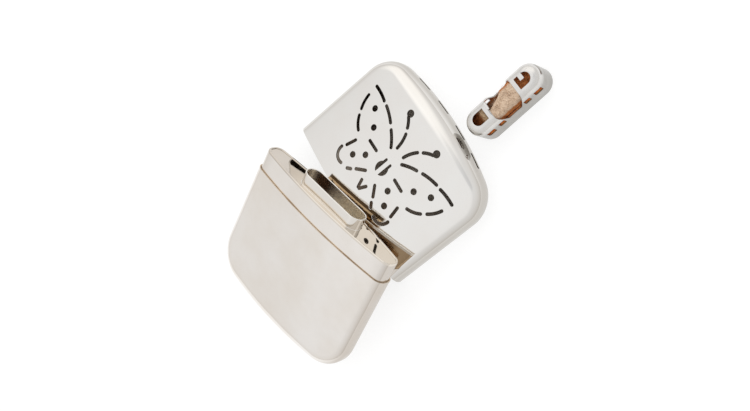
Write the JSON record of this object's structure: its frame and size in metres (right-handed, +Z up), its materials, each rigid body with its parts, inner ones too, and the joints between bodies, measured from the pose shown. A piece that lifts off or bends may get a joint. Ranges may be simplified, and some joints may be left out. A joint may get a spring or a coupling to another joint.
{
  "type": "catalytic hand warmer",
  "caption": "Catalytic pocket hand warmer taken apart on a table: flat oval fuel tank with filler neck, pierced slip-on lid with a butterfly of vents, and windowed burner cap.",
  "frame": {"origin": "bottom centre of the bounding box of all pieces as they lie on the table", "axes": "+Z up from the table; +Y from the fuel tank along the lid's length to the burner; +X across the lid"},
  "size_m": [0.0794, 0.1402, 0.0263],
  "materials": {
    "nickel_sheet": "polished nickel plate on drawn sheet",
    "burner_nickel": "bright pressed sheet, skirt a little duller",
    "gauze": "fine woven wire",
    "catalyst_wool": "coated glass wool, browned by use",
    "felt": "dense wick felt",
    "cotton": "loose cotton"
  },
  "bodies": {
    "lid": {"lid_shell": "nickel_sheet"},
    "fuel_tank": {"tank_shell": "nickel_sheet", "collar_sleeve": "nickel_sheet", "top_plate": "nickel_sheet", "filler_neck": "nickel_sheet", "felt_pad": "felt", "packing_left": "cotton", "packing_centre": "cotton", "packing_right": "cotton"},
    "burner": {"burner_cap": "burner_nickel", "burner_tray": "burner_nickel", "catalyst_gauze": "gauze", "catalyst_wool": "catalyst_wool"}
  },
  "joints": [
    {"name": "tank_pull", "type": "slide", "parent": "lid", "child": "fuel_tank", "axis": [0, -1, 0], "range_m": [0, 0.03]},
    {"name": "burner_lift", "type": "slide", "parent": "lid", "child": "burner", "axis": [0, 0, 1], "range_m": [0, 0.03]}
  ]
}
